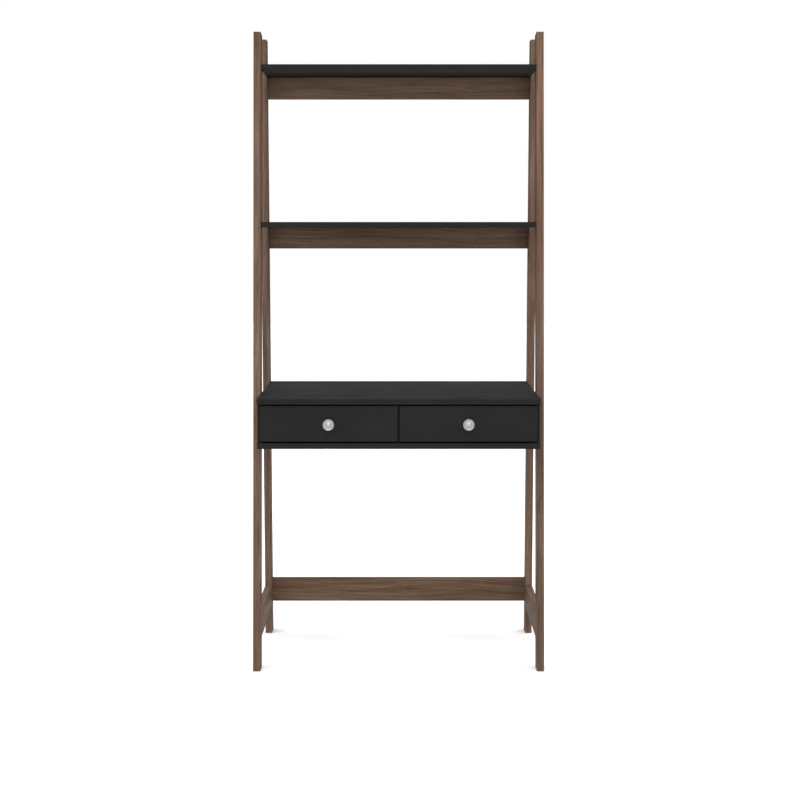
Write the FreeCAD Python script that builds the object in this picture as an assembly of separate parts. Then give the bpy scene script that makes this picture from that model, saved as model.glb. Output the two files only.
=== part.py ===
import FreeCAD, Part
import math
import os
from collections import namedtuple
from FreeCAD import Vector

# A ladder desk: two A-shaped side frames carry two shelves and a desk box with two drawers.
# Sizes are in millimetres. +X is to the right of a person at the desk, who is on its -Y side.
# +Z is up. The origin is on the floor, under the middle of the overall box.

# Side frames: upright rear posts, front posts that lean back, a rail low down between them
OVERALL_WIDTH = 800.0
POST_HEIGHT = 1748.0
POST_THICK = 20.0
POST_DEPTH = 50.0
TOP_SPREAD = 220.0         # rear faces to the front posts' front faces, at the top
FOOT_SPREAD = 430.0        # the same at the floor
SIDE_RAIL_LIFT = 82.0
SIDE_RAIL_HEIGHT = 65.0

# Rails between the rear posts, flush with the rear faces
RAIL_THICK = 20.0
LOWER_RAIL_LIFT = 91.0
LOWER_RAIL_HEIGHT = 70.0
SHELF_RAIL_HEIGHT = 62.0

# Shelves, flush with the front posts' front faces
SHELF_THICK = 15.0
UPPER_SHELF_DROP = 89.0    # top of the posts to the top of the upper shelf
SHELF_SPACING = 432.0      # top of one shelf to the top of the next

# Desk box
DESK_HEIGHT = 756.5
DESK_DEPTH = 455.0
DESK_BOX_HEIGHT = 135.0
PANEL_THICK = 15.0

# Drawer fronts, set back a little and overlapping the edges of the desk sides and divider
FRONT_THICK = 15.0
FRONT_RECESS = 5.0
FRONT_GAP = 4.0            # above and below a drawer front
FRONT_END_GAP = 8.0        # between a post and a drawer front
FRONTS_APART = 5.0
FRONT_BACK_GAP = 2.0       # drawer front to the desk sides' front edges

# Drawer boxes
DRAWER_SIDE_THICK = 12.0
DRAWER_BACK_THICK = 12.0
DRAWER_REAR_SPACE = 60.0   # behind a closed drawer
DRAWER_TOP_SPACE = 16.5    # above a drawer's sides
BOTTOM_THICK = 3.0
GROOVE_LIFT = 8.0          # drawer side's lower edge to the groove
GROOVE_DEPTH = 5.0
GROOVE_PLAY = 0.5          # past the edges of the drawer bottom
GROOVE_SLACK = 0.2         # above the drawer bottom

# Roller runners of folded steel: a channel on the desk box, an angle on the drawer
RUNNER_SPACE = 12.5        # desk side or divider to the drawer side
SHEET_THICK = 1.2
BEND_RADIUS = 0.6
RUNNER_LIFT = 6.0          # desk bottom to the channel
RUNNER_FRONT_GAP = 2.0     # desk side's front edge to the channel
RUNNER_SHORTFALL = 10.0    # drawer side longer than its runner
RUNNER_PLAY = 1.0          # between a channel's edges and the drawer's runner
ANGLE_LIFT = 3.3           # channel floor to the drawer side's lower edge
ANGLE_FLANGE = 9.0         # under the drawer side
TRACK_PLAY = 1.5           # drawer's track to the channel's top flange
ROLLER_DIA = 16.0
ROLLER_GAP = 0.3           # roller to what it rolls on
ROLLER_SIDE_GAP = 0.3      # roller to the sheet that carries its axle
ROLLER_END = 12.0          # roller axis to the end of its runner
AXLE_DIA = 5.0
AXLE_PLAY = 0.1            # round the axle and under its head
AXLE_HEAD_DIA = 7.5
AXLE_HEAD_THICK = 0.6
AXLE_HEAD_GAP = 1.0        # axle head to the sheet that it faces

# Knobs
KNOB_DIA = 30.0
KNOB_PROJECTION = 26.0
KNOB_NECK_DIA = 12.0
KNOB_NECK_LENGTH = 15.0
KNOB_RIM_WIDTH = 1.5
KNOB_DISH = 1.2            # rim in front of the ring round the button
KNOB_BUTTON_DIA = 17.0
KNOB_BUTTON_RISE = 3.0     # button in front of the rim
KNOB_BUTTON_EDGE = 2.0     # chamfer round the button

# Screws and dowels
FRAME_SCREW_DIA = 5.0
FRAME_SCREW_HEAD = 9.0
FRAME_SCREW_BITE = 30.0
PANEL_SCREW_DIA = 4.0
PANEL_SCREW_HEAD = 8.0
PANEL_SCREW_BITE = 15.0
RUNNER_SCREW_DIA = 3.5
RUNNER_SCREW_HEAD = 6.5
RUNNER_SCREW_RISE = 1.0
RUNNER_SCREW_BITE = 5.0
KNOB_SCREW_DIA = 4.0
KNOB_SCREW_HEAD = 8.0
KNOB_SCREW_RISE = 2.5
KNOB_SCREW_BITE = 10.0
DOWEL_DIA = 6.0
DOWEL_LENGTH = 30.0
DOWEL_BITE = 10.0          # depth in the face of a board
DOWEL_END_SPACE = 1.0
FASTENER_SIDES = 6         # small round fasteners have few flat sides
HOLE_PLAY = 0.1
RAIL_SCREW_SPACING = 36.0
SIDE_DOWEL_SPACING = 32.0
DRAWER_FIXING_INSET = 20.0
PANEL_FIXING_INSET = 60.0
DESK_SCREW_INSET = 14.0    # from the runners below and the desk top above
RUNNER_SCREW_INSET = 60.0
EDGE_EASE = 1.0

# Worked out from the sizes above
LEAN = math.atan2(FOOT_SPREAD - TOP_SPREAD, POST_HEIGHT)
POST_RUN = POST_DEPTH / math.cos(LEAN)
INNER = OVERALL_WIDTH / 2 - POST_THICK
DRAWER_FACE_REACH = DESK_DEPTH - FRONT_RECESS
OVERALL_DEPTH = max(FOOT_SPREAD, DESK_DEPTH, DRAWER_FACE_REACH + KNOB_PROJECTION)
REAR = OVERALL_DEPTH / 2
DESK_FRONT = REAR - DESK_DEPTH
FACE_Y = DESK_FRONT + FRONT_RECESS
FRONT_BACK_Y = FACE_Y + FRONT_THICK
SIDE_FRONT_Y = FRONT_BACK_Y + FRONT_BACK_GAP
BACK_PANEL_Y = REAR - PANEL_THICK
DRAWER_END_Y = BACK_PANEL_Y - DRAWER_REAR_SPACE

UPPER_SHELF_TOP = POST_HEIGHT - UPPER_SHELF_DROP
MIDDLE_SHELF_TOP = UPPER_SHELF_TOP - SHELF_SPACING
BAY_CEILING = DESK_HEIGHT - PANEL_THICK
DESK_UNDERSIDE = DESK_HEIGHT - DESK_BOX_HEIGHT
BAY_FLOOR = DESK_UNDERSIDE + PANEL_THICK
DIVIDER_FACE = PANEL_THICK / 2
SIDE_FACE = INNER - PANEL_THICK

CHANNEL_BOTTOM = BAY_FLOOR + RUNNER_LIFT
CHANNEL_FLOOR = CHANNEL_BOTTOM + SHEET_THICK
AXLE_Z = CHANNEL_FLOOR + ROLLER_GAP + ROLLER_DIA / 2
TRACK_BOTTOM = AXLE_Z + ROLLER_DIA / 2 + ROLLER_GAP
TRACK_TOP = TRACK_BOTTOM + SHEET_THICK
CHANNEL_TOP = TRACK_TOP + TRACK_PLAY + SHEET_THICK
DRAWER_FOOT = CHANNEL_FLOOR + ANGLE_LIFT
DRAWER_RIM = BAY_CEILING - DRAWER_TOP_SPACE
ANGLE_FACE = RUNNER_SPACE - SHEET_THICK
CHANNEL_EDGE = ANGLE_FACE - RUNNER_PLAY
RUNNER_LENGTH = DRAWER_END_Y - FRONT_BACK_Y - RUNNER_SHORTFALL
CHANNEL_FRONT_Y = SIDE_FRONT_Y + RUNNER_FRONT_GAP
FRONT_ROLLER_Y = CHANNEL_FRONT_Y + ROLLER_END
REAR_ROLLER_Y = FRONT_BACK_Y + RUNNER_LENGTH - ROLLER_END
ROLLER_START = SHEET_THICK + ROLLER_SIDE_GAP
AXLE_ROUND_END = ANGLE_FACE - AXLE_HEAD_GAP - AXLE_HEAD_THICK
ROLLER_WIDTH = AXLE_ROUND_END - AXLE_PLAY - ROLLER_START

X_AXIS = Vector(1, 0, 0)
Y_AXIS = Vector(0, 1, 0)
Z_AXIS = Vector(0, 0, 1)
SIDES = (("left", -1), ("right", 1))

# A bay wall carries a channel: where its face is, and which way is into the bay
Wall = namedtuple("Wall", "name face inward")
WALLS = (Wall("outer", SIDE_FACE, -1), Wall("inner", DIVIDER_FACE, 1))

parts = {}
groups = {}
holes = {}


def ahead(distance):
    """Y of a plane that lies a distance in front of the rear faces."""
    return REAR - distance


def front_reach(height):
    """Distance from the rear faces to the front posts' front faces at a height."""
    return FOOT_SPREAD - math.tan(LEAN) * height


def block(xs, ys, zs):
    """A box between two X, two Y and two Z values, in any order."""
    low = Vector(min(xs), min(ys), min(zs))
    return Part.makeBox(abs(xs[1] - xs[0]), abs(ys[1] - ys[0]), abs(zs[1] - zs[0]), low)


def prism(points, push):
    """A closed outline of points, pushed along a vector."""
    return Part.Face(Part.makePolygon(points + points[:1])).extrude(push)


def runs_along(edge, direction):
    """True for a straight edge that runs along a direction."""
    return edge.tangentAt(edge.FirstParameter).cross(direction).Length < 1e-6


def eased(shape, direction):
    """Take the sharpness off the edges that run along a direction."""
    return shape.makeChamfer(EDGE_EASE, [edge for edge in shape.Edges if runs_along(edge, direction)])


def ring(dia, centre, axis):
    """The outline of a fastener: a polygon with its corners on a circle."""
    radial = X_AXIS if abs(axis.z) > 0.5 else Z_AXIS
    turn = FreeCAD.Rotation(axis, 360 / FASTENER_SIDES)
    corners = [radial * (dia / 2)]
    for _ in range(FASTENER_SIDES):
        corners.append(turn.multVec(corners[-1]))
    return Part.makePolygon([centre + corner for corner in corners[:-1] + corners[:1]])


def bar(dia, start, axis, length):
    """A straight length of a fastener."""
    return Part.Face(ring(dia, start, axis)).extrude(axis * length)


def countersunk(head, shank, start, axis, length):
    """A bar with a flush head, which is as deep as it stands out from the bar."""
    depths = ((head, 0), (shank, (head - shank) / 2), (shank, length))
    rings = [ring(dia, start + axis * depth, axis) for dia, depth in depths]
    faces = [Part.Face(rings[0]), Part.Face(rings[-1])]
    for near, far in zip(rings, rings[1:]):
        for edge, next_edge in zip(near.Edges, far.Edges):
            corners = [v.Point for v in edge.Vertexes] + [v.Point for v in reversed(next_edge.Vertexes)]
            faces.append(Part.Face(Part.makePolygon(corners + corners[:1])))
    return Part.makeSolid(Part.makeShell(faces))


class Screw:
    """A screw with a flush head, or a raised one where it has a rise."""

    def __init__(self, head, shank, length, rise=0.0):
        self.head = head
        self.shank = shank
        self.length = length
        self.rise = rise

    def solid(self, seat, axis):
        if not self.rise:
            return countersunk(self.head, self.shank, seat, axis, self.length)
        return bar(self.shank, seat, axis, self.length).fuse(bar(self.head, seat, -axis, self.rise))

    def hole(self, seat, axis):
        shank = self.shank + 2 * HOLE_PLAY
        length = self.length + HOLE_PLAY
        if not self.rise:
            return countersunk(self.head + 2 * HOLE_PLAY, shank, seat, axis, length)
        return bar(shank, seat, axis, length)


def drill(hole, boards):
    """Note a hole for each named board. All the holes of a board are cut together at the end."""
    for name in boards:
        holes.setdefault(name, []).append(hole)


def drive(group, screw, seat, axis, boards):
    """Put a screw through the first board into the next one."""
    groups.setdefault(group, []).append(screw.solid(seat, axis))
    drill(screw.hole(seat, axis), boards)


def peg(group, face, axis, boards):
    """Put a dowel into the face of the first board, with its longer end in the next one."""
    start = face - axis * DOWEL_BITE
    groups.setdefault(group, []).append(bar(DOWEL_DIA, start, axis, DOWEL_LENGTH))
    hole_start = start - axis * DOWEL_END_SPACE
    drill(bar(DOWEL_DIA + 2 * HOLE_PLAY, hole_start, axis, DOWEL_LENGTH + 2 * DOWEL_END_SPACE), boards)


FRAME_SCREW = Screw(FRAME_SCREW_HEAD, FRAME_SCREW_DIA, POST_THICK + FRAME_SCREW_BITE)
DESK_SCREW = Screw(PANEL_SCREW_HEAD, PANEL_SCREW_DIA, PANEL_THICK + PANEL_SCREW_BITE)
DRAWER_SCREW = Screw(PANEL_SCREW_HEAD, PANEL_SCREW_DIA, DRAWER_SIDE_THICK + PANEL_SCREW_BITE)
CHANNEL_SCREW = Screw(RUNNER_SCREW_HEAD, RUNNER_SCREW_DIA, SHEET_THICK + RUNNER_SCREW_BITE)
ANGLE_SCREW = Screw(
    RUNNER_SCREW_HEAD, RUNNER_SCREW_DIA, SHEET_THICK + RUNNER_SCREW_BITE, RUNNER_SCREW_RISE)
KNOB_SCREW = Screw(KNOB_SCREW_HEAD, KNOB_SCREW_DIA, FRONT_THICK + KNOB_SCREW_BITE, KNOB_SCREW_RISE)


def make_side_frame(side, sign):
    """Two posts and the rail that joins them low down."""
    xs = (sign * INNER, sign * (INNER + POST_THICK))
    across = Vector(xs[1] - xs[0], 0, 0)

    rear = block(xs, (ahead(0), ahead(POST_DEPTH)), (0, POST_HEIGHT))
    parts[side + "_rear_post"] = eased(rear, Z_AXIS)

    # The top is cut square to the leaning post, the foot flat to the floor
    back_step = POST_DEPTH * math.cos(LEAN)
    outline = [
        Vector(xs[0], ahead(FOOT_SPREAD), 0),
        Vector(xs[0], ahead(FOOT_SPREAD - POST_RUN), 0),
        Vector(xs[0], ahead(TOP_SPREAD - back_step), POST_HEIGHT - POST_DEPTH * math.sin(LEAN)),
        Vector(xs[0], ahead(TOP_SPREAD), POST_HEIGHT),
    ]
    up_the_post = Vector(0, math.sin(LEAN), math.cos(LEAN))
    parts[side + "_front_post"] = eased(prism(outline, across), up_the_post)

    rail_top = SIDE_RAIL_LIFT + SIDE_RAIL_HEIGHT
    outline = [
        Vector(xs[0], ahead(POST_DEPTH), SIDE_RAIL_LIFT),
        Vector(xs[0], ahead(POST_DEPTH), rail_top),
        Vector(xs[0], ahead(front_reach(rail_top) - POST_RUN), rail_top),
        Vector(xs[0], ahead(front_reach(SIDE_RAIL_LIFT) - POST_RUN), SIDE_RAIL_LIFT),
    ]
    parts[side + "_side_rail"] = eased(prism(outline, across), Y_AXIS)

    middle_x = sum(xs) / 2
    for step in (-0.5, 0.5):
        z = SIDE_RAIL_LIFT + SIDE_RAIL_HEIGHT / 2 + step * SIDE_DOWEL_SPACING
        rear_face = Vector(middle_x, ahead(POST_DEPTH), z)
        peg("side_rail_dowels", rear_face, -Y_AXIS, [side + "_rear_post", side + "_side_rail"])
        front_face = Vector(middle_x, ahead(front_reach(z) - POST_RUN), z)
        peg("side_rail_dowels", front_face, Y_AXIS, [side + "_front_post", side + "_side_rail"])


def make_rear_rail(name, top, height):
    """A rail between the rear posts, with two screws at each end."""
    rail = block((-INNER, INNER), (ahead(0), ahead(RAIL_THICK)), (top - height, top))
    parts[name] = eased(rail, X_AXIS)
    for side, sign in SIDES:
        for step in (-0.5, 0.5):
            z = top - height / 2 + step * RAIL_SCREW_SPACING
            seat = Vector(sign * OVERALL_WIDTH / 2, ahead(RAIL_THICK / 2), z)
            drive("frame_screws", FRAME_SCREW, seat, X_AXIS * -sign, [side + "_rear_post", name])


def make_shelf(name, top):
    """A shelf between the posts, on a rail along its rear edge."""
    ys = (ahead(0), ahead(front_reach(top)))
    parts[name] = eased(block((-INNER, INNER), ys, (top - SHELF_THICK, top)), X_AXIS)
    middle = top - SHELF_THICK / 2
    for side, sign in SIDES:
        for post, reach in (("rear", POST_DEPTH), ("front", front_reach(middle))):
            y = ahead(reach - POST_RUN / 2)
            seat = Vector(sign * OVERALL_WIDTH / 2, y, middle)
            drive("frame_screws", FRAME_SCREW, seat, X_AXIS * -sign, [side + "_" + post + "_post", name])
    make_rear_rail(name + "_rail", top - SHELF_THICK, SHELF_RAIL_HEIGHT)


def inset(low, high):
    """Two places for fixings, near the ends of a span."""
    return (low + PANEL_FIXING_INSET, high - PANEL_FIXING_INSET)


def make_desk_box():
    """Top, bottom, sides, divider and back, fixed to each other and to the posts."""
    width = (-INNER, INNER)
    depth = (ahead(0), DESK_FRONT)
    bay_zs = (BAY_FLOOR, BAY_CEILING)
    parts["desk_top"] = eased(block(width, depth, (BAY_CEILING, DESK_HEIGHT)), X_AXIS)
    parts["desk_bottom"] = eased(block(width, depth, (DESK_UNDERSIDE, BAY_FLOOR)), X_AXIS)
    parts["desk_back"] = block((-SIDE_FACE, SIDE_FACE), (ahead(0), BACK_PANEL_Y), bay_zs)
    parts["desk_divider"] = block((-DIVIDER_FACE, DIVIDER_FACE), (BACK_PANEL_Y, SIDE_FRONT_Y), bay_zs)
    for side, sign in SIDES:
        xs = (sign * SIDE_FACE, sign * INNER)
        parts["desk_" + side + "_side"] = block(xs, (ahead(0), SIDE_FRONT_Y), bay_zs)

    # Dowels hold each upright panel under the desk top, and screws hold it from below
    for name in ("desk_left_side", "desk_right_side", "desk_divider", "desk_back"):
        box = parts[name].BoundBox
        if box.XLength > box.YLength:
            spots = [Vector(x, box.Center.y, 0) for x in inset(box.XMin, box.XMax)]
        else:
            spots = [Vector(box.Center.x, y, 0) for y in inset(box.YMin, box.YMax)]
        for spot in spots:
            peg("desk_dowels", spot + Z_AXIS * BAY_CEILING, -Z_AXIS, ["desk_top", name])
            seat = spot + Z_AXIS * DESK_UNDERSIDE
            drive("desk_screws", DESK_SCREW, seat, Z_AXIS, ["desk_bottom", name])

    # Screws from inside the bays hold the desk sides to the posts
    for side, sign in SIDES:
        for z in (CHANNEL_TOP + DESK_SCREW_INSET, BAY_CEILING - DESK_SCREW_INSET):
            for post, reach in (("rear", POST_DEPTH), ("front", front_reach(z))):
                seat = Vector(sign * SIDE_FACE, ahead(reach - POST_RUN / 2), z)
                boards = ["desk_" + side + "_side", side + "_" + post + "_post"]
                drive("desk_screws", DESK_SCREW, seat, X_AXIS * sign, boards)


def folded(points, bends, y):
    """A strip of sheet steel: a section in X and Z, its bent corners rounded, pushed to the rear."""
    strip = prism([Vector(x, y, z) for x, z in points], Y_AXIS * RUNNER_LENGTH)
    corners = [Vector(x, y, z) for x, z in bends]
    folds = [edge for edge in strip.Edges if runs_along(edge, Y_AXIS)
             and any(edge.distToShape(Part.Vertex(corner))[0] < 1e-6 for corner in corners)]
    return strip.makeFillet(BEND_RADIUS, folds)


def make_axle(sheet, axis):
    """A riveted axle, from inside the sheet to a head past the roller."""
    root = SHEET_THICK / 2
    pin = Part.makeCylinder(AXLE_DIA / 2, AXLE_ROUND_END - root, sheet + axis * root, axis)
    return pin.fuse(bar(AXLE_HEAD_DIA, sheet + axis * AXLE_ROUND_END, axis, AXLE_HEAD_THICK))


def make_roller(group, sheet, axis):
    """A roller on the axle that stands out of a sheet. Rollers on one line turn together."""
    bore = AXLE_DIA / 2 + AXLE_PLAY
    start = sheet + axis * ROLLER_START
    tread = Part.makeCylinder(ROLLER_DIA / 2, ROLLER_WIDTH, start, axis)
    roller = tread.cut(Part.makeCylinder(bore, ROLLER_WIDTH, start, axis))
    groups.setdefault(group, []).append(roller)


def make_runners(side, sign, wall):
    """The channel on one bay wall, the angle on the drawer facing it, and their rollers."""
    def across(distance):
        return sign * (wall.face + wall.inward * distance)

    into_bay = X_AXIS * sign * wall.inward

    # The channel is open towards the drawer, with its roller near the front
    channel = side + "_" + wall.name + "_channel"
    section = [
        (across(0), CHANNEL_BOTTOM),
        (across(CHANNEL_EDGE), CHANNEL_BOTTOM),
        (across(CHANNEL_EDGE), CHANNEL_FLOOR),
        (across(SHEET_THICK), CHANNEL_FLOOR),
        (across(SHEET_THICK), CHANNEL_TOP - SHEET_THICK),
        (across(CHANNEL_EDGE), CHANNEL_TOP - SHEET_THICK),
        (across(CHANNEL_EDGE), CHANNEL_TOP),
        (across(0), CHANNEL_TOP),
    ]
    web = Vector(across(0), FRONT_ROLLER_Y, AXLE_Z)
    strip = folded(section, [section[0], section[7]], CHANNEL_FRONT_Y)
    parts[channel] = strip.fuse(make_axle(web, into_bay))
    make_roller(side + "_front_rollers", web, into_bay)

    # The angle goes under the drawer side, and its track runs on the front roller
    drawer = side + "_drawer"
    angle = drawer + "_" + wall.name + "_runner"
    flange_end = RUNNER_SPACE + ANGLE_FLANGE
    track_edge = SHEET_THICK + RUNNER_PLAY
    section = [
        (across(flange_end), DRAWER_FOOT - SHEET_THICK),
        (across(flange_end), DRAWER_FOOT),
        (across(RUNNER_SPACE), DRAWER_FOOT),
        (across(RUNNER_SPACE), TRACK_TOP),
        (across(track_edge), TRACK_TOP),
        (across(track_edge), TRACK_BOTTOM),
        (across(ANGLE_FACE), TRACK_BOTTOM),
        (across(ANGLE_FACE), DRAWER_FOOT - SHEET_THICK),
    ]
    leg = Vector(across(RUNNER_SPACE), REAR_ROLLER_Y, AXLE_Z)
    strip = folded(section, [section[3], section[7]], FRONT_BACK_Y)
    parts[angle] = strip.fuse(make_axle(leg, -into_bay))
    make_roller(side + "_rear_rollers", leg, -into_bay)

    upright = "desk_divider" if wall.name == "inner" else "desk_" + side + "_side"
    board = drawer + "_" + wall.name + "_side"
    under_side = across(RUNNER_SPACE + ANGLE_FLANGE / 2)
    for y in (RUNNER_SCREW_INSET, RUNNER_LENGTH - RUNNER_SCREW_INSET):
        seat = Vector(across(SHEET_THICK), CHANNEL_FRONT_Y + y, AXLE_Z)
        drive("channel_screws", CHANNEL_SCREW, seat, -into_bay, [channel, upright])
        seat = Vector(under_side, FRONT_BACK_Y + y, DRAWER_FOOT - SHEET_THICK)
        drive(drawer + "_runner_screws", ANGLE_SCREW, seat, Z_AXIS, [angle, board])


def make_drawer(side, sign):
    """A front, two sides and a back round a thin bottom that sits in grooves."""
    drawer = side + "_drawer"
    front = drawer + "_front"
    back = drawer + "_back"
    zs = (DRAWER_FOOT, DRAWER_RIM)
    box_xs = (DIVIDER_FACE + RUNNER_SPACE, SIDE_FACE - RUNNER_SPACE)
    tray_xs = (box_xs[0] + DRAWER_SIDE_THICK, box_xs[1] - DRAWER_SIDE_THICK)
    back_ys = (DRAWER_END_Y - DRAWER_BACK_THICK, DRAWER_END_Y)

    face_xs = (sign * FRONTS_APART / 2, sign * (INNER - FRONT_END_GAP))
    face_zs = (BAY_FLOOR + FRONT_GAP, BAY_CEILING - FRONT_GAP)
    plain = block(face_xs, (FACE_Y, FRONT_BACK_Y), face_zs)
    face_edges = [edge for edge in plain.Edges if edge.BoundBox.YMax < FACE_Y + EDGE_EASE]
    parts[front] = plain.makeChamfer(EDGE_EASE, face_edges)
    parts[back] = block((sign * tray_xs[0], sign * tray_xs[1]), back_ys, zs)
    ends = {"inner": (box_xs[0], tray_xs[0]), "outer": (tray_xs[1], box_xs[1])}
    for name, xs in ends.items():
        parts[drawer + "_" + name + "_side"] = block(
            (sign * xs[0], sign * xs[1]), (FRONT_BACK_Y, DRAWER_END_Y), zs)

    # The bottom stops a little short of the ends of its grooves
    boards = [front, back, drawer + "_inner_side", drawer + "_outer_side"]
    groove_z = DRAWER_FOOT + GROOVE_LIFT

    def tray(reach, height):
        xs = (sign * (tray_xs[0] - reach), sign * (tray_xs[1] + reach))
        return block(xs, (FRONT_BACK_Y - reach, back_ys[0] + reach), (groove_z, groove_z + height))

    parts[drawer + "_bottom"] = tray(GROOVE_DEPTH - GROOVE_PLAY, BOTTOM_THICK)
    drill(tray(GROOVE_DEPTH, BOTTOM_THICK + GROOVE_SLACK), boards)

    levels = (DRAWER_FOOT + DRAWER_FIXING_INSET, DRAWER_RIM - DRAWER_FIXING_INSET)
    for name, xs in ends.items():
        board = drawer + "_" + name + "_side"
        outside = box_xs[0] if name == "inner" else box_xs[1]
        inward = X_AXIS * (sign if name == "inner" else -sign)
        for z in levels:
            face = Vector(sign * sum(xs) / 2, FRONT_BACK_Y, z)
            peg(drawer + "_dowels", face, Y_AXIS, [front, board])
            seat = Vector(sign * outside, sum(back_ys) / 2, z)
            drive(drawer + "_screws", DRAWER_SCREW, seat, inward, [board, back])

    make_knob(side, sum(face_xs) / 2, sum(face_zs) / 2)


def make_knob(side, x, z):
    """A turned knob on a drawer front: neck, head with a rim, and a button in its middle."""
    neck = KNOB_NECK_DIA / 2
    rim = KNOB_DIA / 2
    rim_front = KNOB_PROJECTION - KNOB_BUTTON_RISE
    button = KNOB_BUTTON_DIA / 2

    def at(radius, distance):
        return Vector(x + radius, FACE_Y - distance, z)

    outline = [
        at(0, 0),
        at(neck, 0),
        at(neck, KNOB_NECK_LENGTH),
        at(rim, KNOB_NECK_LENGTH),
        at(rim, rim_front),
        at(rim - KNOB_RIM_WIDTH, rim_front),
        at(rim - KNOB_RIM_WIDTH, rim_front - KNOB_DISH),
        at(button, rim_front - KNOB_DISH),
        at(button, KNOB_PROJECTION - KNOB_BUTTON_EDGE),
        at(button - KNOB_BUTTON_EDGE, KNOB_PROJECTION),
        at(0, KNOB_PROJECTION),
    ]
    turned = Part.Face(Part.makePolygon(outline + outline[:1]))
    parts[side + "_knob"] = turned.revolve(at(0, 0), Y_AXIS, 360)
    seat = Vector(x, FRONT_BACK_Y, z)
    boards = [side + "_drawer_front", side + "_knob"]
    drive(side + "_knob_screw", KNOB_SCREW, seat, -Y_AXIS, boards)


for side, sign in SIDES:
    make_side_frame(side, sign)
make_rear_rail("lower_rear_rail", LOWER_RAIL_LIFT + LOWER_RAIL_HEIGHT, LOWER_RAIL_HEIGHT)
make_shelf("middle_shelf", MIDDLE_SHELF_TOP)
make_shelf("upper_shelf", UPPER_SHELF_TOP)
make_desk_box()
for side, sign in SIDES:
    make_drawer(side, sign)
    for wall in WALLS:
        make_runners(side, sign, wall)

for name, cuts in holes.items():
    parts[name] = parts[name].cut(cuts)
for name, solids in groups.items():
    parts[name] = Part.makeCompound(solids)
os.makedirs("parts", exist_ok=True)
for name, shape in parts.items():
    shape.exportStep("parts/" + name + ".step")
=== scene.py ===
import math

import bmesh
import bpy
from mathutils import Matrix, Vector


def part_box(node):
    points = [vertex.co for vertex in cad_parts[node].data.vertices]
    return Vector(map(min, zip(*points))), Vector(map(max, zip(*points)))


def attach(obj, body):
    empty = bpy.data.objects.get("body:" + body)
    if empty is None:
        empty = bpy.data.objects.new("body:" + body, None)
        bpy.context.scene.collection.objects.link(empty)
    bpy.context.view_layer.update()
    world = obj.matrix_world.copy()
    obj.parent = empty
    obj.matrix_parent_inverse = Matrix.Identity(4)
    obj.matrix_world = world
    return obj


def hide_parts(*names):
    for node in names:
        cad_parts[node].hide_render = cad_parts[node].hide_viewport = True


# A ladder desk: four walnut-look posts, two black shelves and a black desk box with two drawers.
# Lengths are in metres.
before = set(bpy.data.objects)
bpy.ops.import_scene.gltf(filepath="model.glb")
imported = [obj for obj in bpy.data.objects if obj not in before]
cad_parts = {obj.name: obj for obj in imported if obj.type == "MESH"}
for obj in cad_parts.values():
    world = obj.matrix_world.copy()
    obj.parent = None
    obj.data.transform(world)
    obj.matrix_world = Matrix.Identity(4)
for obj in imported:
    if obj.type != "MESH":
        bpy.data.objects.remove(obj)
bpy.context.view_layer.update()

SIDES = ("left", "right")

# Directions that boards and dowels run in. The front posts run back from foot to top.
UPRIGHT = (0, 0, 1)
LEANING = (0, 0.210, 1.748)
ACROSS = (1, 0, 0)
SIDEWAYS = (0, 1, 0)

# Knob, turned about its own axis. Lengths run out from the drawer front.
KNOB_NECK = 0.006
KNOB_NECK_LENGTH = 0.015
KNOB_HEAD_EDGE = 0.023
KNOB_RIM = 0.0015
KNOB_DISH = 0.0218
KNOB_BUTTON = 0.0085
KNOB_BUTTON_EDGE = 0.0236
KNOB_ROUNDING = 0.0005
KNOB_CORNER_STEPS = 3
KNOB_STEPS = 96
DOME_STEPS = 10

# Rollers.
ROLLER_BORE = 0.0026
ROLLER_HUB = 0.0042
ROLLER_WEB_DROP = 0.0012
ROLLER_TREAD_LIP = 0.0014
ROLLER_ROUNDING = 0.0005
ROLLER_CORNER_STEPS = 2
ROLLER_STEPS = 64

# Screws. All but the sides, the steps and the rise are shares of a size measured on the CAD screw.
HEAD_SIDES = 24
HEAD_RISE = 0.00015
HEAD_COVER = 1.03
HEAD_WIDTH = 0.95
HEAD_DOME = 0.7
HEAD_DOME_STEPS = 4
HEX_SIDES = 6
HEX_REACH = 0.48
CROSS_SIDES = 12
CROSS_REACH = 0.58
CROSS_ARM = 0.30
PIT_DEPTH = 0.5
PIT_TAPER = 0.7
POINT_TAPER = 0.15

# Points nearer than the gap are one point, and those that agree to so many digits lie level.
# Edges sharper than the crease stay crisp.
MERGE_GAP = 1e-6
LEVEL_DIGITS = 5
CREASE = math.radians(30)

# Marks to a metre along a board and across it, in its grain and in the skin of a factory finish.
# Soft marks have two numbers more: how many finer layers they have, and how strong those are.
DRIFT = (1.6, 7.0, 2.0, 0.5)
TONE = (1.1, 3.4, 2.0, 0.5)
STREAK = (2.6, 70.0, 4.0, 0.62)
TINT = (2.1, 34.0, 2.0, 0.5)
FIBRE = (9.0, 620.0, 4.0, 0.7)
PORE = (70.0, 1700.0, 1.0, 0.5)
PIMPLE = (1500.0, 1500.0, 2.0, 0.5)
CLOUD = (9.0, 9.0, 3.0, 0.5)
WIPE = (5.0, 7.0, 3.0, 0.5)
VEIN_BANDS = (0.7, 40.0)
FLECK_CELLS = (3.0, 26.0)

# How the grain lies: how far lines wander sideways, where the tone starts, how the veins swirl.
DRIFT_REACH = 0.012
TONE_START = (3.7, 1.3, 0.4)
VEIN_SWIRL = {
    "Scale": 1.3,
    "Distortion": 9.0,
    "Detail": 3.0,
    "Detail Scale": 1.1,
    "Detail Roughness": 0.6,
}

# Parts of a mask's range that are spread over the whole of it.
DRIFT_SPAN = (0.25, 0.75)
NOISE_SPAN = (0.3, 0.7)
VEIN_SPAN = (0.55, 1.0)
FIBRE_SPAN = (0.28, 0.72)
PORE_SPAN = (0.57, 0.66)
FLECK_SPAN = (0.05, 0.20)

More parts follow.
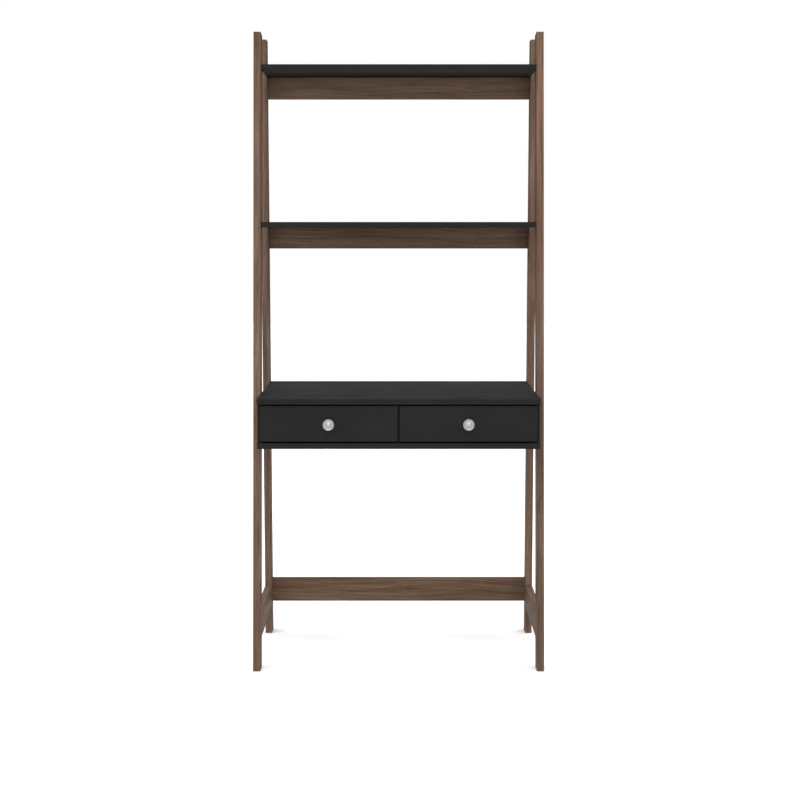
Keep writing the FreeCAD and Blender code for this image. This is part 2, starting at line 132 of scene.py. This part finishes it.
# Walnut-look foil. Shares say how far a mark covers the brown. A relief is a depth and a strength.
WALNUT_STREAKS = (
    (0.0, (0.094, 0.055, 0.036)),
    (0.45, (0.142, 0.088, 0.059)),
    (1.0, (0.196, 0.128, 0.091)),
)
WALNUT_TINTS = ((0.0, (0.92, 1.03, 0.98)), (0.5, (1.0, 1.0, 1.0)), (1.0, (1.08, 0.96, 1.0)))
WALNUT_DEPTHS = ((0.0, 0.77), (1.0, 1.09))
WALNUT_THREADS = ((0.0, (0.74, 0.74, 0.74)), (1.0, (1.12, 1.12, 1.12)))
WALNUT_VEIN = (0.058, 0.034, 0.023, 1.0)
WALNUT_PORE = (0.040, 0.024, 0.017, 1.0)
VEIN_SHARE = 0.34
PORE_SHARE = 0.45
FLECK_SHARE = 0.65
WALNUT_GLOSS = 0.1
WALNUT_ROUGHNESS = (0.58, 0.44)
WALNUT_RELIEF = (0.00012, 0.6)

# Board skins and plated metal.
PIMPLE_SHARE = 0.8
CLOUD_SHARE = 0.2
SPECKLE_SPAN = (0.25, 0.75)
LAMINATE_RELIEF = (0.00008, 0.5)
NICKEL_RELIEF = (0.00002, 0.4)
ZINC_RELIEF = (0.00003, 0.4)

# Beech dowels.
BEECH_FIBRES = ((0.0, (0.42, 0.26, 0.13)), (1.0, (0.60, 0.40, 0.22)))
BEECH_PORE = (0.25, 0.13, 0.06, 1.0)
BEECH_PORE_SHARE = 0.4
BEECH_GLOSS = 0.3
BEECH_ROUGHNESS = (0.70, 0.58)
BEECH_RELIEF = (0.00015, 0.6)

# Pale floor. It throws back less light than the camera sees on it.
FLOOR_HALF = 14.0
FLOOR_PATCH = (3.0, 3.0, 2.0, 0.5)
FLOOR_PALE = ((0.3, (0.87, 0.87, 0.87)), (0.7, (0.89, 0.89, 0.89)))
FLOOR_BOUNCE = (0.5, 0.5, 0.5, 1.0)
FLOOR_ROUGHNESS = 0.9

# White surround, dim up to one height of the sky and bright from another.
WHITE = (1.0, 1.0, 1.0, 1.0)
SKY_SPAN = (0.2, 0.85)
HORIZON_LIGHT = 0.05
OVERHEAD_LIGHT = 2.0

# Soft lights: name, place, side length, power in watts, and whether it shows in reflections.
LIGHT_AIM = Vector((0.0, 0.0, 0.9))
SOFTBOXES = (
    ("high_front", (-0.6, -3.6, 4.0), 3.0, 50.0, True),
    ("front", (0.0, -4.6, 1.4), 1.8, 65.0, True),
    ("back", (0.5, 3.8, 3.2), 3.0, 50.0, False),
    ("left_end", (-3.8, -1.6, 2.0), 2.0, 70.0, False),
    ("right_end", (3.8, -1.6, 2.0), 2.0, 70.0, False),
)

# Camera. Its reach is the focal length in pixels of an image 800 pixels wide.
CAMERA_PLACE = (0.0, -4.076, 1.218)
CAMERA_PITCH = math.radians(6.46)
CAMERA_SENSOR = 36.0
CAMERA_REACH = 1455
IMAGE_WIDTH = 800
CAMERA_SHIFT = (0.00175, -0.0125)


def put(tree, kind, inputs, **settings):
    """A node with its settings made and each input set to a value or joined to a socket."""
    node = tree.nodes.new(kind)
    for name, value in settings.items():
        setattr(node, name, value)
    for name, value in inputs.items():
        if isinstance(value, bpy.types.NodeSocket):
            tree.links.new(value, node.inputs[name])
        else:
            node.inputs[name].default_value = value
    return node


def scaled(tree, place, along, across, start=(0.0, 0.0, 0.0)):
    """A place measured in marks along a board and across it."""
    inputs = {"Vector": place, "Scale": (along, across, across), "Location": start}
    return put(tree, "ShaderNodeMapping", inputs).outputs["Vector"]


def soft_marks(tree, place, marks, start=(0.0, 0.0, 0.0)):
    """Soft noise, from about 0.25 to 0.75."""
    along, across, detail, roughness = marks
    vector = scaled(tree, place, along, across, start)
    inputs = {"Vector": vector, "Scale": 1.0, "Detail": detail, "Roughness": roughness}
    return put(tree, "ShaderNodeTexNoise", inputs).outputs["Fac"]


def spread(tree, value, span, onto=(0.0, 1.0), kind="LINEAR"):
    """A value moved from one span onto another and held inside it."""
    inputs = {"Value": value, 1: span[0], 2: span[1], 3: onto[0], 4: onto[1]}
    node = put(tree, "ShaderNodeMapRange", inputs, interpolation_type=kind, clamp=True)
    return node.outputs["Result"]


def blend(tree, share, first, second, mode="MIX"):
    """Two colours mixed by a share."""
    settings = {"data_type": "RGBA", "blend_type": mode}
    return put(tree, "ShaderNodeMix", {0: share, 6: first, 7: second}, **settings).outputs[2]


def maths(tree, operation, first, second):
    """One sum on two values."""
    return put(tree, "ShaderNodeMath", {0: first, 1: second}, operation=operation).outputs[0]


def tones(tree, value, stops):
    """Colours laid along a value."""
    node = put(tree, "ShaderNodeValToRGB", {"Fac": value})
    ramp = node.color_ramp
    while len(ramp.elements) < len(stops):
        ramp.elements.new(1.0)
    for element, (place, colour) in zip(ramp.elements, stops):
        element.position = place
        element.color = (*colour, 1.0)
    return node.outputs["Color"]


def new_group(name):
    """An empty node group and the place on a piece that it reads."""
    tree = bpy.data.node_groups.new(name, "ShaderNodeTree")
    tree.interface.new_socket("Place", in_out="INPUT", socket_type="NodeSocketVector")
    return tree, tree.nodes.new("NodeGroupInput").outputs["Place"]


def put_out(tree, masks):
    """Gives a node group an output for each named mask."""
    for name in masks:
        tree.interface.new_socket(name, in_out="OUTPUT", socket_type="NodeSocketFloat")
    out = tree.nodes.new("NodeGroupOutput")
    for name, mask in masks.items():
        tree.links.new(mask, out.inputs[name])
    return tree


def make_wood_grain():
    """Streaks, veins, fibres, pores and dark flecks of a board whose grain runs along X."""
    tree, place = new_group("wood_grain")
    drift = soft_marks(tree, place, DRIFT)
    drift = spread(tree, drift, DRIFT_SPAN, (-DRIFT_REACH, DRIFT_REACH))
    aside = put(tree, "ShaderNodeCombineXYZ", {"X": 0.0, "Y": drift, "Z": drift}).outputs[0]
    place = put(tree, "ShaderNodeVectorMath", {0: place, 1: aside}, operation="ADD").outputs[0]
    swirl = {"Vector": scaled(tree, place, *VEIN_BANDS), **VEIN_SWIRL}
    vein = put(tree, "ShaderNodeTexWave", swirl, bands_direction="DIAGONAL").outputs["Fac"]
    cells = {"Vector": scaled(tree, place, *FLECK_CELLS), "Scale": 1.0, "Randomness": 1.0}
    fleck = put(tree, "ShaderNodeTexVoronoi", cells).outputs["Distance"]
    return put_out(tree, {
        "Tone": spread(tree, soft_marks(tree, place, TONE, TONE_START), NOISE_SPAN),
        "Streak": spread(tree, soft_marks(tree, place, STREAK), NOISE_SPAN),
        "Tint": spread(tree, soft_marks(tree, place, TINT), NOISE_SPAN),
        "Vein": spread(tree, vein, VEIN_SPAN, kind="SMOOTHSTEP"),
        "Fibre": spread(tree, soft_marks(tree, place, FIBRE), FIBRE_SPAN),
        "Pore": spread(tree, soft_marks(tree, place, PORE), PORE_SPAN),
        "Fleck": spread(tree, fleck, FLECK_SPAN, (1.0, 0.0), "SMOOTHSTEP"),
    })


def make_fine_texture():
    """The fine pimpled skin, the faint cloudiness and the wiping marks of a factory finish."""
    tree, place = new_group("fine_texture")
    return put_out(tree, {
        "Pimple": soft_marks(tree, place, PIMPLE),
        "Cloud": spread(tree, soft_marks(tree, place, CLOUD), NOISE_SPAN),
        "Wipe": spread(tree, soft_marks(tree, place, WIPE), NOISE_SPAN),
    })


WOOD_GRAIN = make_wood_grain()
FINE_TEXTURE = make_fine_texture()


def new_material(name, **sockets):
    """A material's tree, its shader with plain values set, and its place on the piece."""
    material = bpy.data.materials.new(name)
    material.use_nodes = True
    tree = material.node_tree
    shader = next(node for node in tree.nodes if node.type == "BSDF_PRINCIPLED")
    for socket, value in sockets.items():
        shader.inputs[socket.replace("_", " ")].default_value = value
    place = tree.nodes.new("ShaderNodeTexCoord").outputs["Object"]
    return material, tree, shader, place


def finish_surface(tree, shader, colour, roughness, height, relief):
    """Joins a colour, a roughness and a bump to a shader."""
    depth, strength = relief
    bump = put(tree, "ShaderNodeBump", {"Height": height, "Distance": depth, "Strength": strength})
    tree.links.new(colour, shader.inputs["Base Color"])
    tree.links.new(roughness, shader.inputs["Roughness"])
    tree.links.new(bump.outputs["Normal"], shader.inputs["Normal"])


def board_grain(tree, place, direction):
    """Grain masks of a board whose length runs in a direction."""
    turn = Vector(direction).rotation_difference(Vector(ACROSS)).to_euler()
    laid = put(tree, "ShaderNodeMapping", {"Vector": place, "Rotation": turn}).outputs["Vector"]
    return put(tree, "ShaderNodeGroup", {"Place": laid}, node_tree=WOOD_GRAIN).outputs


def factory_skin(tree, place):
    """Skin masks of a factory finish."""
    return put(tree, "ShaderNodeGroup", {"Place": place}, node_tree=FINE_TEXTURE).outputs


def make_walnut(name, direction, shade):
    """Satin walnut-look foil: grey-brown and red-brown streaks, fine fibres and dark flecks."""
    material, tree, shader, place = new_material(name, Specular_IOR_Level=WALNUT_GLOSS)
    grain = board_grain(tree, place, direction)
    depths = [(at, [depth * part for part in shade]) for at, depth in WALNUT_DEPTHS]
    colour = tones(tree, grain["Streak"], WALNUT_STREAKS)
    for mask, stops in (("Tint", WALNUT_TINTS), ("Tone", depths), ("Fibre", WALNUT_THREADS)):
        colour = blend(tree, 1.0, colour, tones(tree, grain[mask], stops), "MULTIPLY")
    vein = maths(tree, "MULTIPLY", grain["Vein"], VEIN_SHARE)
    colour = blend(tree, vein, colour, WALNUT_VEIN)
    pore = maths(tree, "MULTIPLY", grain["Pore"], PORE_SHARE)
    fleck = maths(tree, "MULTIPLY", grain["Fleck"], FLECK_SHARE)
    colour = blend(tree, maths(tree, "MAXIMUM", pore, fleck), colour, WALNUT_PORE)
    roughness = spread(tree, grain["Fibre"], (0.0, 1.0), WALNUT_ROUGHNESS)
    height = maths(tree, "SUBTRACT", grain["Fibre"], grain["Pore"])
    finish_surface(tree, shader, colour, roughness, height, WALNUT_RELIEF)
    return material


def make_laminate(name, deep, pale, wiped, gloss):
    """Matt pimpled board skin, faintly cloudy, with a wiped sheen."""
    material, tree, shader, place = new_material(name, Specular_IOR_Level=gloss)
    skin = factory_skin(tree, place)
    pimple = maths(tree, "MULTIPLY", skin["Pimple"], PIMPLE_SHARE)
    cloud = maths(tree, "MULTIPLY", skin["Cloud"], CLOUD_SHARE)
    speckle = maths(tree, "ADD", pimple, cloud)
    colour = tones(tree, speckle, tuple(zip(SPECKLE_SPAN, (deep, pale))))
    roughness = spread(tree, skin["Wipe"], (0.0, 1.0), wiped)
    finish_surface(tree, shader, colour, roughness, skin["Pimple"], LAMINATE_RELIEF)
    return material


def make_plate(name, deep, pale, wiped, relief):
    """Satin plated metal with a fine grain and a little cloudiness."""
    material, tree, shader, place = new_material(name, Metallic=1.0)
    skin = factory_skin(tree, place)
    colour = tones(tree, skin["Cloud"], ((0.0, deep), (1.0, pale)))
    roughness = spread(tree, skin["Wipe"], (0.0, 1.0), wiped)
    finish_surface(tree, shader, colour, roughness, skin["Pimple"], relief)
    return material


def make_beech(name, direction):
    """Plain pale beech with short fibres."""
    material, tree, shader, place = new_material(name, Specular_IOR_Level=BEECH_GLOSS)
    grain = board_grain(tree, place, direction)
    colour = tones(tree, grain["Fibre"], BEECH_FIBRES)
    pore = maths(tree, "MULTIPLY", grain["Pore"], BEECH_PORE_SHARE)
    colour = blend(tree, pore, colour, BEECH_PORE)
    roughness = spread(tree, grain["Fibre"], (0.0, 1.0), BEECH_ROUGHNESS)
    finish_surface(tree, shader, colour, roughness, grain["Fibre"], BEECH_RELIEF)
    return material


def grey(level):
    """A neutral colour."""
    return (level, level, level)


# Walnut: the direction of the grain, and how light the boards are that lie that way. The upright
# rear posts are made lighter than the other boards as painted light, standing in for light falling
# on them.
WALNUT_UPRIGHT_PAINTED_LIGHT = make_walnut("walnut_upright_painted_light", UPRIGHT, (1.16, 1.18, 1.20))
WALNUT_LEANING = make_walnut("walnut_leaning", LEANING, (0.93, 0.93, 0.94))
WALNUT_ACROSS = make_walnut("walnut_across", ACROSS, (0.95, 0.93, 0.90))
WALNUT_SIDEWAYS = make_walnut("walnut_sideways", SIDEWAYS, (0.95, 0.93, 0.92))

# Board skins and metal: darkest and palest colour, least and most roughness, and gloss or relief.
BLACK_LAMINATE = make_laminate("black_laminate", grey(0.0102), grey(0.0177), (0.57, 0.67), 0.05)
DRAWER_BOARD = make_laminate("drawer_board", (0.016, 0.0155, 0.015), (0.026, 0.0255, 0.025),
                             (0.57, 0.67), 0.1)
RUNNER_COAT = make_laminate("runner_coat", grey(0.008), grey(0.014), (0.35, 0.45), 0.4)
NYLON = make_laminate("moulded_nylon", (0.58, 0.58, 0.56), (0.68, 0.68, 0.66), (0.40, 0.50), 0.4)
# One nickel in a lighter and a darker copy: the lighter one on the knob's button is a painted
# highlight, the darker one on its rim and ring is painted shade.
NICKEL_PAINTED_HIGHLIGHT = make_plate("nickel_painted_highlight", grey(0.43), grey(0.49), (0.54, 0.62), NICKEL_RELIEF)
NICKEL_PAINTED_SHADE = make_plate("nickel_painted_shade", grey(0.36), grey(0.41), (0.48, 0.56), NICKEL_RELIEF)
ZINC = make_plate("zinc_plate", (0.28, 0.285, 0.295), (0.40, 0.405, 0.415), (0.28, 0.42),
                  ZINC_RELIEF)
BEECH_UPRIGHT = make_beech("beech_upright", UPRIGHT)
BEECH_SIDEWAYS = make_beech("beech_sideways", SIDEWAYS)


def dress(material, *nodes):
    """Gives each CAD node its one material."""
    for node in nodes:
        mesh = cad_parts[node].data
        mesh.materials.clear()
        mesh.materials.append(material)
        mesh.polygons.foreach_set("material_index", [0] * len(mesh.polygons))


# The rear posts take the walnut copy made lighter, painted light standing in for light falling on
# them.
dress(WALNUT_UPRIGHT_PAINTED_LIGHT, "left_rear_post", "right_rear_post")
dress(WALNUT_LEANING, "left_front_post", "right_front_post")
dress(WALNUT_ACROSS, "lower_rear_rail", "middle_shelf_rail", "upper_shelf_rail")
dress(WALNUT_SIDEWAYS, "left_side_rail", "right_side_rail")
dress(BLACK_LAMINATE, "upper_shelf", "middle_shelf", "desk_top", "desk_bottom", "desk_left_side",
      "desk_right_side", "desk_divider", "desk_back", "left_drawer_front", "right_drawer_front")
for side in SIDES:
    dress(DRAWER_BOARD, f"{side}_drawer_outer_side", f"{side}_drawer_inner_side",
          f"{side}_drawer_back", f"{side}_drawer_bottom")
    dress(RUNNER_COAT, f"{side}_outer_channel", f"{side}_inner_channel",
          f"{side}_drawer_outer_runner", f"{side}_drawer_inner_runner")
    dress(BEECH_SIDEWAYS, f"{side}_drawer_dowels")
dress(BEECH_SIDEWAYS, "side_rail_dowels")
dress(BEECH_UPRIGHT, "desk_dowels")


def add_to_scene(name, data):
    """An object for a mesh, a light or a camera, linked to the scene."""
    thing = bpy.data.objects.new(name, data)
    bpy.context.scene.collection.objects.link(thing)
    return thing


def finish_piece(bm, name, body, node, material):
    """Closes a new piece's mesh, shades it and puts it in place of its CAD node."""
    bmesh.ops.remove_doubles(bm, verts=bm.verts, dist=MERGE_GAP)
    bmesh.ops.recalc_face_normals(bm, faces=bm.faces)
    mesh = bpy.data.meshes.new(name)
    bm.to_mesh(mesh)
    bm.free()
    mesh.shade_smooth()
    mesh.set_sharp_from_angle(angle=CREASE)
    mesh.materials.append(material)
    piece = add_to_scene(name, mesh)
    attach(piece, body)
    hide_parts(node)
    return piece


def solids_of(node):
    """The points of each solid in a CAD node, one list to a solid."""
    bm = bmesh.new()
    bm.from_mesh(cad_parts[node].data)
    bmesh.ops.remove_doubles(bm, verts=bm.verts, dist=MERGE_GAP)
    left = set(bm.verts)
    solids = []
    for start in list(bm.verts):
        if start not in left:
            continue
        left.remove(start)
        reached = [start]
        for vert in reached:
            for edge in vert.link_edges:
                other = edge.other_vert(vert)
                if other in left:
                    left.remove(other)
                    reached.append(other)
        solids.append([vert.co.copy() for vert in reached])
    bm.free()
    return solids


def middle_and_half(points):
    """The middle of the box round some points, and half its size."""
    low = Vector([min(point[k] for point in points) for k in range(3)])
    high = Vector([max(point[k] for point in points) for k in range(3)])
    return (low + high) / 2, (high - low) / 2


def add_shape(bm, shape):
    """Adds a finished shape to a piece that holds several."""
    mesh = bpy.data.meshes.new("shape")
    shape.to_mesh(mesh)
    shape.free()
    bm.from_mesh(mesh)
    bpy.data.meshes.remove(mesh)


def outline(bm, points, closed):
    """Points joined by a line of edges."""
    verts = [bm.verts.new(point) for point in points]
    for pair in zip(verts, verts[1:]):
        bm.edges.new(pair)
    if closed:
        bm.edges.new((verts[-1], verts[0]))
    return verts


def turn_on_lathe(bm, centre, axis, steps):
    """Spins everything drawn so far once round an axis."""
    drawn = list(bm.verts) + list(bm.edges)
    bmesh.ops.spin(bm, geom=drawn, cent=centre, axis=axis, angle=2 * math.pi, steps=steps,
                   use_merge=True)


def round_corners(bm, corners, radius, segments, kind):
    """Rounds corners of a drawn outline, or edges of a shape."""
    bmesh.ops.bevel(bm, geom=corners, offset=radius, offset_type="OFFSET", affect=kind,
                    segments=segments, profile=0.5, material=-1)


def dome_points(front):
    """The line over a knob's domed button, from its edge to its crown."""
    rise = front - KNOB_BUTTON_EDGE
    radius = (KNOB_BUTTON ** 2 + rise ** 2) / (2 * rise)
    sweep = math.asin(KNOB_BUTTON / radius)
    angles = [sweep * (1 - step / DOME_STEPS) for step in range(1, DOME_STEPS + 1)]
    return [(radius * math.sin(angle), front - radius * (1 - math.cos(angle))) for angle in angles]


def make_knob(side):
    """Round knob: slim neck, flat head with a rim and a dished ring, and a domed button."""
    low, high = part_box(f"{side}_knob")
    centre = (low + high) / 2
    head = (high.x - low.x) / 2
    drawn = [
        (0.0, 0.0),
        (KNOB_NECK, 0.0),
        (KNOB_NECK, KNOB_NECK_LENGTH),
        (head, KNOB_NECK_LENGTH),
        (head, KNOB_HEAD_EDGE),
        (head - KNOB_RIM, KNOB_HEAD_EDGE),
        (head - 2 * KNOB_RIM, KNOB_DISH),
        (KNOB_BUTTON, KNOB_DISH),
        (KNOB_BUTTON, KNOB_BUTTON_EDGE),
    ]
    neck_end, dome_start = 2, len(drawn)
    drawn += dome_points(high.y - low.y)
    bm = bmesh.new()
    points = [(centre.x + radius, high.y - out, centre.z) for radius, out in drawn]
    corners = outline(bm, points, closed=False)[neck_end:dome_start]
    round_corners(bm, corners, KNOB_ROUNDING, KNOB_CORNER_STEPS, "VERTICES")
    turn_on_lathe(bm, (centre.x, 0, centre.z), SIDEWAYS, KNOB_STEPS)
    for face in bm.faces:
        middle = face.calc_center_median()
        radius = math.hypot(middle.x - centre.x, middle.z - centre.z)
        # The button's faces take the second, lighter nickel, a painted highlight; the rim and ring
        # keep the darker nickel, painted shade.
        face.material_index = int(radius < KNOB_BUTTON and high.y - middle.y > KNOB_DISH)
    knob = finish_piece(bm, f"{side}_turned_knob", f"{side}_drawer", f"{side}_knob",
                        NICKEL_PAINTED_SHADE)
    knob.data.materials.append(NICKEL_PAINTED_HIGHLIGHT)


def make_rollers(side, end):
    """The pair of nylon rollers on one line: a crowned tread, a sunk web and a bored hub."""
    node = f"{side}_{end}_rollers"
    bm = bmesh.new()
    for solid in solids_of(node):
        centre, half = middle_and_half(solid)
        tread, cheek = half.z, half.x
        face = [
            (ROLLER_BORE, cheek),
            (ROLLER_HUB, cheek),
            (ROLLER_HUB, cheek - ROLLER_WEB_DROP),
            (tread - ROLLER_TREAD_LIP, cheek - ROLLER_WEB_DROP),
            (tread - ROLLER_TREAD_LIP, cheek),
            (tread, cheek),
        ]
        drawn = face + [(radius, -along) for radius, along in reversed(face)]
        roller = bmesh.new()
        points = [(centre.x + along, centre.y, centre.z + radius) for radius, along in drawn]
        corners = outline(roller, points, closed=True)
        round_corners(roller, corners, ROLLER_ROUNDING, ROLLER_CORNER_STEPS, "VERTICES")
        turn_on_lathe(roller, centre, ACROSS, ROLLER_STEPS)
        add_shape(bm, roller)
    finish_piece(bm, f"{side}_{end}_roller_pair", node, node, NYLON)


def ring_edges(verts):
    """The edges that join a ring of points."""
    edges = dict.fromkeys(edge for vert in verts for edge in vert.link_edges)
    return [edge for edge in edges if all(vert in verts for vert in edge.verts)]


def pull_ring(bm, edges, shrink, drop):
    """Draws a wall from a ring of edges and gives the ring at its end."""
    made = bmesh.ops.extrude_edge_only(bm, edges=edges)["geom"]
    verts = [item for item in made if isinstance(item, bmesh.types.BMVert)]
    bmesh.ops.scale(bm, vec=(shrink, shrink, 1.0), verts=verts)
    bmesh.ops.translate(bm, vec=(0, 0, -drop), verts=verts)
    return ring_edges(verts)


def measure_screw(solid):
    """A CAD screw's crown, outward direction, head and shank radii, length and head height."""
    centre, _ = middle_and_half(solid)
    levels = [{round(point[k], LEVEL_DIGITS) for point in solid} for k in range(3)]
    along = min(range(3), key=lambda k: len(levels[k]))
    axis = Vector([float(k == along) for k in range(3)])
    radii = dict.fromkeys(levels[along], 0.0)
    for point in solid:
        arm = point - centre
        level = round(point[along], LEVEL_DIGITS)
        radii[level] = max(radii[level], (arm - axis * arm.dot(axis)).length)
    tip, top = sorted((min(radii), max(radii)), key=radii.get)
    outward = axis * math.copysign(1.0, top - tip)
    wide = [level for level, radius in radii.items() if radius > HEAD_WIDTH * radii[top]]
    proud = max(abs(top - level) for level in wide)
    crown = centre + axis * (top - centre[along])
    return crown, outward, radii[top], radii[tip], abs(top - tip), proud


def cut_cross(ring, reach):
    """Moves a ring of twelve points to the outline of a cross."""
    half = reach * CROSS_ARM
    arm = ((reach, -half, 0.0), (reach, half, 0.0), (half, half, 0.0))
    for index, vert in enumerate(ring):
        quarter, corner = divmod(index, len(arm))
        vert.co = Matrix.Rotation(math.pi / 2 * quarter, 3, "Z") @ Vector(arm[corner])


def make_screw(solid, drive):
    """One screw on a CAD screw's line: a driven head, countersunk or domed, and a pointed shank."""
    crown, outward, head, shank, length, proud = measure_screw(solid)
    head *= HEAD_COVER
    domed = proud > HEAD_RISE
    wall, taper = (proud, 0.0) if domed else (HEAD_RISE, head - shank)
    screw = bmesh.new()
    rim = bmesh.ops.create_circle(screw, segments=HEAD_SIDES, radius=head)["verts"]
    pit = bmesh.ops.create_circle(screw, segments=drive, radius=head * HEX_REACH)["verts"]
    if drive == CROSS_SIDES:
        cut_cross(pit, head * CROSS_REACH)
    rim_edges, pit_edges = ring_edges(rim), ring_edges(pit)
    bmesh.ops.bridge_loops(screw, edges=rim_edges + pit_edges)
    pit_floor = pull_ring(screw, pit_edges, PIT_TAPER, head * PIT_DEPTH)
    bmesh.ops.edgeloop_fill(screw, edges=pit_floor)
    edge = pull_ring(screw, rim_edges, 1.0, wall)
    neck = pull_ring(screw, edge, shank / head, taper)
    straight = pull_ring(screw, neck, 1.0, length - wall - taper - shank)
    point = pull_ring(screw, straight, POINT_TAPER, shank)
    bmesh.ops.edgeloop_fill(screw, edges=point)
    round_corners(screw, rim_edges, wall * HEAD_DOME, HEAD_DOME_STEPS, "EDGES")
    place = outward.to_track_quat("Z", "Y").to_matrix().to_4x4()
    place.translation = crown if domed else crown + outward * HEAD_RISE
    bmesh.ops.transform(screw, matrix=place, verts=screw.verts)
    return screw


def make_screws(node, body, drive):
    """All the screws of one CAD node."""
    bm = bmesh.new()
    for solid in solids_of(node):
        add_shape(bm, make_screw(solid, drive))
    finish_piece(bm, f"{node}_driven", body, node, ZINC)


make_screws("frame_screws", "frame", HEX_SIDES)
make_screws("desk_screws", "frame", CROSS_SIDES)
make_screws("channel_screws", "frame", CROSS_SIDES)
for side in SIDES:
    make_knob(side)
    make_rollers(side, "front")
    make_rollers(side, "rear")
    for screws in ("drawer_screws", "drawer_runner_screws", "knob_screw"):
        make_screws(f"{side}_{screws}", f"{side}_drawer", CROSS_SIDES)


def make_floor():
    """A wide pale floor under the feet."""
    bm = bmesh.new()
    bmesh.ops.create_grid(bm, x_segments=1, y_segments=1, size=FLOOR_HALF)
    mesh = bpy.data.meshes.new("floor")
    bm.to_mesh(mesh)
    bm.free()
    material, tree, shader, place = new_material("pale_floor", Specular_IOR_Level=0.0,
                                                 Roughness=FLOOR_ROUGHNESS)
    pale = tones(tree, soft_marks(tree, place, FLOOR_PATCH), FLOOR_PALE)
    seen = tree.nodes.new("ShaderNodeLightPath").outputs["Is Camera Ray"]
    colour = blend(tree, seen, FLOOR_BOUNCE, pale)
    tree.links.new(colour, shader.inputs["Base Color"])
    mesh.materials.append(material)
    add_to_scene("floor", mesh)


def make_surround():
    """A surround that is white to the camera and lights the desk mostly from overhead."""
    world = bpy.data.worlds.new("white_surround")
    world.use_nodes = True
    tree = world.node_tree
    lit = next(node for node in tree.nodes if node.type == "BACKGROUND")
    out = next(node for node in tree.nodes if node.type == "OUTPUT_WORLD")
    direction = tree.nodes.new("ShaderNodeTexCoord").outputs["Generated"]
    height = put(tree, "ShaderNodeSeparateXYZ", {"Vector": direction}).outputs["Z"]
    strength = spread(tree, height, SKY_SPAN, (HORIZON_LIGHT, OVERHEAD_LIGHT))
    tree.links.new(strength, lit.inputs["Strength"])
    lit.inputs["Color"].default_value = WHITE
    paper = put(tree, "ShaderNodeBackground", {"Color": WHITE, "Strength": 1.0})
    seen = tree.nodes.new("ShaderNodeLightPath").outputs["Is Camera Ray"]
    both = put(tree, "ShaderNodeMixShader", {0: seen, 1: lit.outputs[0], 2: paper.outputs[0]})
    tree.links.new(both.outputs[0], out.inputs["Surface"])
    bpy.context.scene.world = world


def make_softbox(name, place, size, power, shine):
    """A square soft light aimed at the desk, with or without a reflection of itself."""
    light = bpy.data.lights.new(name, "AREA")
    light.shape = "SQUARE"
    light.size = size
    light.energy = power
    lamp = add_to_scene(name, light)
    lamp.location = place
    lamp.rotation_mode = "QUATERNION"
    lamp.rotation_quaternion = (LIGHT_AIM - Vector(place)).to_track_quat("-Z", "Y")
    lamp.visible_glossy = shine


def make_camera():
    """The camera, square to the front and aimed a little down."""
    camera = bpy.data.cameras.new("camera")
    camera.sensor_width = CAMERA_SENSOR
    camera.lens = CAMERA_REACH / IMAGE_WIDTH * CAMERA_SENSOR
    camera.shift_x, camera.shift_y = CAMERA_SHIFT
    eye = add_to_scene("camera", camera)
    eye.location = CAMERA_PLACE
    eye.rotation_euler = (math.pi / 2 - CAMERA_PITCH, 0.0, 0.0)
    bpy.context.scene.camera = eye


make_floor()
make_surround()
for softbox in SOFTBOXES:
    make_softbox(*softbox)
make_camera()
bpy.context.scene.view_settings.view_transform = "Standard"
